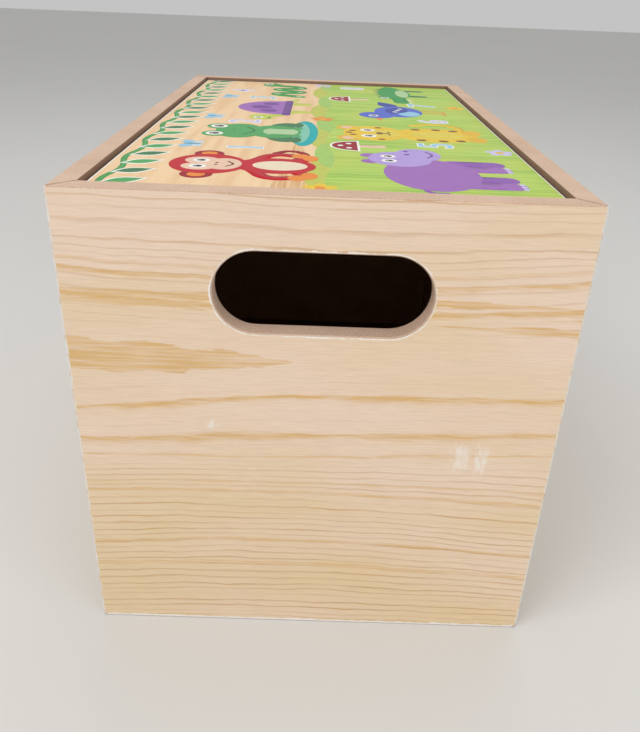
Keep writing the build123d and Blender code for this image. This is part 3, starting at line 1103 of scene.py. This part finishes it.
class TOYBOX_OT_frog(bpy.types.Operator):
    """Print a green frog on a lily pad, seen from the front"""

    bl_idname = "toybox.frog"
    bl_label = "Print the Frog"

    def execute(self, context):
        ink = InkPrint("print_frog")
        middle = 119
        ink.ellipse(middle, 101, 34, 7, "teal")
        ink.level += 1
        ink.ellipse(middle, 103, 27, 4.8, "mint")
        ink.level += 1
        for side in (-1, 1):
            ink.ellipse(middle + 17 * side, 112, 9.5, 6.5, "deep_leaf", turn=-30 * side)
            ink.ellipse(middle + 20 * side, 104.5, 7, 2.6, "deep_leaf")
        ink.ellipse(middle, 116, 17, 13.5, "leaf")
        ink.level += 1
        ink.ellipse(middle, 113, 10.5, 9, "pale_green")
        ink.level += 1
        for side in (-1, 1):
            ink.stroke(((middle + 9 * side, 116), (middle + 10 * side, 104)), 4.4, "leaf")
            ink.ellipse(middle + 10 * side, 145, 6.8, 6.8, "leaf")
        ink.ellipse(middle, 134, 19, 12, "leaf")
        ink.level += 1
        ink.stroke(((middle - 11, 131), (middle, 126.5), (middle + 11, 131)), 1.2, "deep_leaf")
        for side in (-1, 1):
            ink.ellipse(middle + 2.2 * side, 136.5, 0.8, 0.7, "deep_leaf")
            ink.eye(middle + 10 * side, 145.5, 4.4, 4.4)
            ink.level -= 2
        ink.finish()
        return {"FINISHED"}


class TOYBOX_OT_tortoise(bpy.types.Operator):
    """Print a tortoise with a domed purple shell, seen from its side"""

    bl_idname = "toybox.tortoise"
    bl_label = "Print the Tortoise"

    def execute(self, context):
        ink = InkPrint("print_tortoise")
        ink.stroke(((178, 112), (170, 118), (165, 124)), 7, "lime")
        ink.ellipse(163, 126, 9, 7.2, "lime")
        for s in (184, 214):
            ink.stroke(((s, 112), (s, 103)), 9, "lime")
        ink.leaf((222, 112), (236, 107), 5, "lime")
        ink.level += 1
        ink.patch(((172, 113), (180, 134), (199, 143), (218, 134), (226, 113)), "purple", sharp=(0, 4))
        ink.level += 1
        for s, t, wide in ((186, 124, 5), (199, 129, 6.5), (212, 124, 5)):
            ink.ellipse(s, t, wide, wide, "deep_purple")
        ink.stroke(((173, 113), (225, 113)), 4.6, "deep_purple")
        ink.stroke(((157.5, 123), (160, 121.5), (163, 122)), 0.9, "deep_leaf")
        ink.eye(161, 128, 2.8, 2.9)
        ink.finish()
        return {"FINISHED"}


class TOYBOX_OT_snake(bpy.types.Operator):
    """Print a green snake in even waves"""

    bl_idname = "toybox.snake"
    bl_label = "Print the Snake"

    def execute(self, context):
        ink = InkPrint("print_snake")
        waves = [(248 + 11 * k, 108 + 15 * (k % 2)) for k in range(5)]
        ink.stroke((*waves, (302, 126)), 9, "croc")
        ink.ellipse(304, 129, 8.5, 7, "croc")
        ink.level += 1
        for s, t in waves:
            ink.ellipse(s, t, 2.6, 2.2, "pale_green")
        ink.stroke(((312, 128), (316, 127.4)), 1, "red")
        ink.eye(306, 131.5, 2.7, 2.8)
        ink.finish()
        return {"FINISHED"}


class TOYBOX_OT_hippo(bpy.types.Operator):
    """Print a purple hippo, seen from its side"""

    bl_idname = "toybox.hippo"
    bl_label = "Print the Hippo"

    def execute(self, context):
        ink = InkPrint("print_hippo")
        ink.stroke(((12, 52), (7, 50), (6, 44)), 2.4, "purple_shade")
        for s in (30, 58):
            ink.stroke(((s, 34), (s, 17)), 11, "purple_shade")
        ink.level += 1
        for s in (20, 48):
            ink.stroke(((s, 34), (s, 16)), 11, "purple")
        ink.ellipse(37, 46, 28, 20, "purple")
        ink.level += 1
        for s in (16.5, 20, 23.5, 44.5, 48, 51.5):
            ink.ellipse(s, 12, 1.4, 1.2, "pale_lilac")
        for s in (58, 70):
            ink.ellipse(s, 70, 4.2, 4.6, "purple")
        ink.level += 1
        ink.ellipse(64, 57, 15, 14, "lilac")
        ink.ellipse(74, 48, 13, 10.5, "lilac")
        ink.level += 1
        for s in (74, 81):
            ink.ellipse(s, 53, 1.5, 1.3, "deep_purple")
        ink.stroke(((68, 44), (74, 41.5), (81, 43.5)), 1, "deep_purple")
        for s in (60, 69):
            ink.eye(s, 62, 3.1, 3.5)
            ink.level -= 2
        ink.finish()
        return {"FINISHED"}


class TOYBOX_OT_cat(bpy.types.Operator):
    """Print a spotted yellow cat, sitting and seen from the front"""

    bl_idname = "toybox.cat"
    bl_label = "Print the Spotted Cat"

    def execute(self, context):
        ink = InkPrint("print_cat")
        middle = 125
        ink.stroke(((138, 18), (152, 20), (157, 32), (151, 42)), 5.4, "yellow")
        ink.ellipse(middle, 33, 19, 22, "yellow")
        ink.level += 1
        ink.ellipse(middle, 32, 9.5, 14, "pale_yellow")
        for side in (-1, 1):
            ink.ellipse(middle + 9 * side, 13, 7.5, 5, "warm_yellow")
            for away, t in ((14.5, 42), (15.5, 31), (13.5, 22)):
                ink.ellipse(middle + away * side, t, 2, 2.6, "spot_brown")
            ink.ellipse(middle + 14 * side, 78, 6.4, 6.4, "warm_yellow")
        ink.level += 1
        for side in (-1, 1):
            ink.ellipse(middle + 14.4 * side, 78.5, 3.4, 3.4, "blush")
        ink.level += 1
        ink.ellipse(middle, 65, 20, 16, "yellow")
        ink.level += 1
        ink.ellipse(middle, 58.5, 10, 7, "pale_yellow")
        for s, t in ((0, 78), (-5.5, 76), (5.5, 76), (-16, 62), (16, 62)):
            ink.ellipse(middle + s, t, 1.5, 1.9, "spot_brown")
        ink.level += 1
        ink.ellipse(middle, 62, 2.8, 2, "spot_brown")
        for side in (-1, 1):
            lip = ((middle, 60), (middle + 2 * side, 57), (middle + 4.5 * side, 57.6))
            ink.stroke(lip, 0.9, "spot_brown")
            ink.eye(middle + 8 * side, 68, 3.6, 4)
            ink.level -= 2
        ink.finish()
        return {"FINISHED"}


class TOYBOX_OT_songbird(bpy.types.Operator):
    """Print a blue songbird, seen from its side"""

    bl_idname = "toybox.songbird"
    bl_label = "Print the Songbird"

    def execute(self, context):
        ink = InkPrint("print_songbird")
        for s in (195, 203):
            ink.stroke(((s, 34), (s, 19), (s - 4, 18)), 1.6, "orange")
        ink.leaf((212, 46), (238, 56), 11, "deep_blue")
        ink.patch(((177, 63), (165, 59), (177, 56)), "orange", sharp=(0, 1, 2))
        ink.level += 1
        ink.ellipse(199, 46, 20, 14.5, "blue")
        ink.ellipse(184, 60, 11, 10.5, "blue")
        ink.level += 1
        ink.ellipse(192, 40, 9, 6.5, "sky")
        ink.leaf((190, 51), (218, 42), 14, "deep_blue")
        ink.level += 1
        for s in (198, 204, 210):
            ink.ellipse(s, 48 - (s - 198) / 3, 1.6, 1.6, "white")
        ink.eye(181.5, 62, 2.9, 3)
        ink.finish()
        return {"FINISHED"}


class TOYBOX_OT_crocodile(bpy.types.Operator):
    """Print a green crocodile, seen from its side"""

    bl_idname = "toybox.crocodile"
    bl_label = "Print the Crocodile"

    def execute(self, context):
        ink = InkPrint("print_crocodile")
        for s in (270, 296):
            ink.stroke(((s, 34), (s, 23)), 7, "deep_leaf")
        for s in range(266, 306, 6):
            ink.patch(((s - 3, 48), (s, 57), (s + 3, 48)), "deep_leaf", sharp=(0, 1, 2))
        for s in range(238, 258, 5):
            ink.patch(((s - 1.6, 37), (s, 31.5), (s + 1.6, 37)), "white", sharp=(0, 1, 2))
        ink.level += 1
        ink.leaf((296, 42), (317, 45), 13, "croc")
        ink.ellipse(281, 42, 25, 11.5, "croc")
        ink.stroke(((264, 41), (239, 40)), 10, "croc")
        ink.ellipse(259, 49, 5.4, 5.4, "croc")
        ink.level += 1
        ink.ellipse(281, 36.5, 18, 4.6, "pale_green")
        ink.ellipse(237, 43, 0.9, 0.8, "deep_leaf")
        ink.eye(258.5, 50, 3, 3.1)
        ink.finish()
        return {"FINISHED"}


class TOYBOX_OT_plants(bpy.types.Operator):
    """Print the toadstools and a row of flowers"""

    bl_idname = "toybox.plants"
    bl_label = "Print the Plants"

    def execute(self, context):
        ink = InkPrint("print_plants")
        for s in (90, 246):
            ink.stroke(((s, 64), (s, 76)), 6, "blush")
            cap = ((s - 11, 75), (s - 7, 84), (s, 87), (s + 7, 84), (s + 11, 75))
            ink.patch(cap, "deep_red", sharp=(0, 4), border=outline_width())
            for away, t in ((-5, 79), (0, 83), (5, 79)):
                ink.ellipse(s + away, t, 1.5, 1.4, "white")
            ink.level -= 1
        petals = ("yellow", "pale_lilac", "orange")
        for k, s in enumerate((8, 86, 163, 222, 310)):
            t = 8 if k % 2 else 92
            for turn in range(0, 360, 72):
                away = math.radians(turn)
                ink.ellipse(s + 4 * math.cos(away), t + 4 * math.sin(away), 3, 2.4, petals[k % 3], turn=turn)
            ink.level += 1
            ink.ellipse(s, t, 2.2, 2.2, "warm_yellow" if k % 3 else "orange")
            ink.level -= 1
        ink.finish()
        return {"FINISHED"}


class TOYBOX_OT_insects(bpy.types.Operator):
    """Print the pale butterflies"""

    bl_idname = "toybox.insects"
    bl_label = "Print the Butterflies"

    def execute(self, context):
        ink = InkPrint("print_butterflies")
        for s in (82, 160, 240):
            for side in (-1, 1):
                ink.ellipse(s + 4 * side, 154, 4.4, 3, "sky", turn=35 * side)
                ink.ellipse(s + 3.2 * side, 149.5, 3.2, 2.2, "pale_sky", turn=-35 * side)
            ink.level += 1
            ink.ellipse(s, 152, 0.9, 4, "deep_teal")
            ink.level -= 1
        ink.finish()
        return {"FINISHED"}


class TOYBOX_OT_numerals(bpy.types.Operator):
    """Print a plain counting numeral beside each animal"""

    bl_idname = "toybox.numerals"
    bl_label = "Print the Numerals"

    def execute(self, context):
        ink = InkPrint("print_numerals")
        places = ((77, 126), (146, 133), (238, 130), (268, 146), (97, 36), (167, 28), (226, 28), (300, 70))
        for k, (s, t) in enumerate(places):
            tint = "pale_lilac" if k % 2 else "sky"
            ink.numeral(str(k + 1), s, t, 17, tint, border=0.6 * outline_width())
            ink.level -= 1
        ink.finish()
        return {"FINISHED"}


# ------------------------------------------------------------------------------- the studio


CAMERA_PLACE = (-0.00282, -0.42339, FOOT.z + 0.27448)
CAMERA_TURNS = (62.078, -1.998, 0.467)  # degrees about X, Y and Z
FLOOR_REACH = 6.0  # half the floor's width
# Each light is (name, place, turns in degrees, size, share of the key light's power)
LIGHTS = (
    ("key_light", (-0.7, -0.75, 1.25), (42, 0, -43), 0.9, 1.0),
    ("fill_light", (0.9, -0.9, 0.7), (62, 0, 45), 1.1, 0.45),
    ("top_light", (0.1, 0.5, 1.4), (-14, 0, 0), 1.0, 0.4),
)


def turned(degrees):
    """A rotation, from its turns about X, Y and Z in degrees."""
    return Euler([math.radians(turn) for turn in degrees])


class TOYBOX_OT_stage(bpy.types.Operator):
    """Set up the pale floor, the soft lights and the camera"""

    bl_idname = "toybox.stage"
    bl_label = "Set Up the Studio"

    def execute(self, context):
        scene = context.scene
        look = scene.toybox.stage
        shape = bmesh.new()
        middle = Matrix.Translation((0.0, 0.0, FOOT.z))
        bmesh.ops.create_grid(shape, x_segments=1, y_segments=1, size=FLOOR_REACH, matrix=middle)
        mesh = bpy.data.meshes.new("studio_floor")
        shape.to_mesh(mesh)
        shape.free()
        floor = bpy.data.objects.new("studio_floor", mesh)
        mesh.materials.append(studio_floor(look))
        scene.collection.objects.link(floor)

        for name, place, turns, size, share in LIGHTS:
            light = bpy.data.lights.new(name, "AREA")
            light.shape = "DISK"
            light.size = size
            light.energy = share * look.key_power
            lamp = bpy.data.objects.new(name, light)
            lamp.location = place
            lamp.rotation_euler = turned(turns)
            scene.collection.objects.link(lamp)

        world = bpy.data.worlds.new("studio")
        world.use_nodes = True
        sky = world.node_tree.nodes["Background"]
        sky.inputs["Color"].default_value = (1.0, 1.0, 1.0, 1.0)
        sky.inputs["Strength"].default_value = look.sky_strength
        scene.world = world
        scene.view_settings.view_transform = "Standard"

        lens = bpy.data.cameras.new("camera")
        lens.lens = look.lens
        lens.clip_start = 0.01
        camera = bpy.data.objects.new("camera", lens)
        camera.location = CAMERA_PLACE
        camera.rotation_euler = turned(CAMERA_TURNS)
        scene.collection.objects.link(camera)
        scene.camera = camera
        return {"FINISHED"}


# ------------------------------------------------------------------------------- the add-on

OPERATORS = (
    TOYBOX_OT_walls,
    TOYBOX_OT_papers,
    TOYBOX_OT_bottom,
    TOYBOX_OT_rails,
    TOYBOX_OT_lid,
    TOYBOX_OT_meadow,
    TOYBOX_OT_vine,
    TOYBOX_OT_monkey,
    TOYBOX_OT_frog,
    TOYBOX_OT_songbird,
    TOYBOX_OT_hippo,
    TOYBOX_OT_cat,
    TOYBOX_OT_tortoise,
    TOYBOX_OT_snake,
    TOYBOX_OT_crocodile,
    TOYBOX_OT_plants,
    TOYBOX_OT_insects,
    TOYBOX_OT_numerals,
    TOYBOX_OT_stage,
)


class TOYBOX_PT_panel(bpy.types.Panel):
    """The toy box's steps, in the order they are run"""

    bl_idname = "TOYBOX_PT_panel"
    bl_label = "Toy Box"
    bl_space_type = "VIEW_3D"
    bl_region_type = "UI"
    bl_category = "Toy Box"

    def draw(self, context):
        for step in OPERATORS:
            self.layout.operator(step.bl_idname)


CLASSES = (
    TOYBOX_PG_boards,
    TOYBOX_PG_paper,
    TOYBOX_PG_picture,
    TOYBOX_PG_stage,
    TOYBOX_PG_settings,
    *OPERATORS,
    TOYBOX_PT_panel,
)


def register():
    for each in CLASSES:
        bpy.utils.register_class(each)
    bpy.types.Scene.toybox = PointerProperty(type=TOYBOX_PG_settings)


def unregister():
    del bpy.types.Scene.toybox
    for each in reversed(CLASSES):
        bpy.utils.unregister_class(each)


def main():
    """Dresses the box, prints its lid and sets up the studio."""
    register()
    for step in OPERATORS:
        family, name = step.bl_idname.split(".")
        getattr(getattr(bpy.ops, family), name)()


if __name__ == "__main__":
    main()
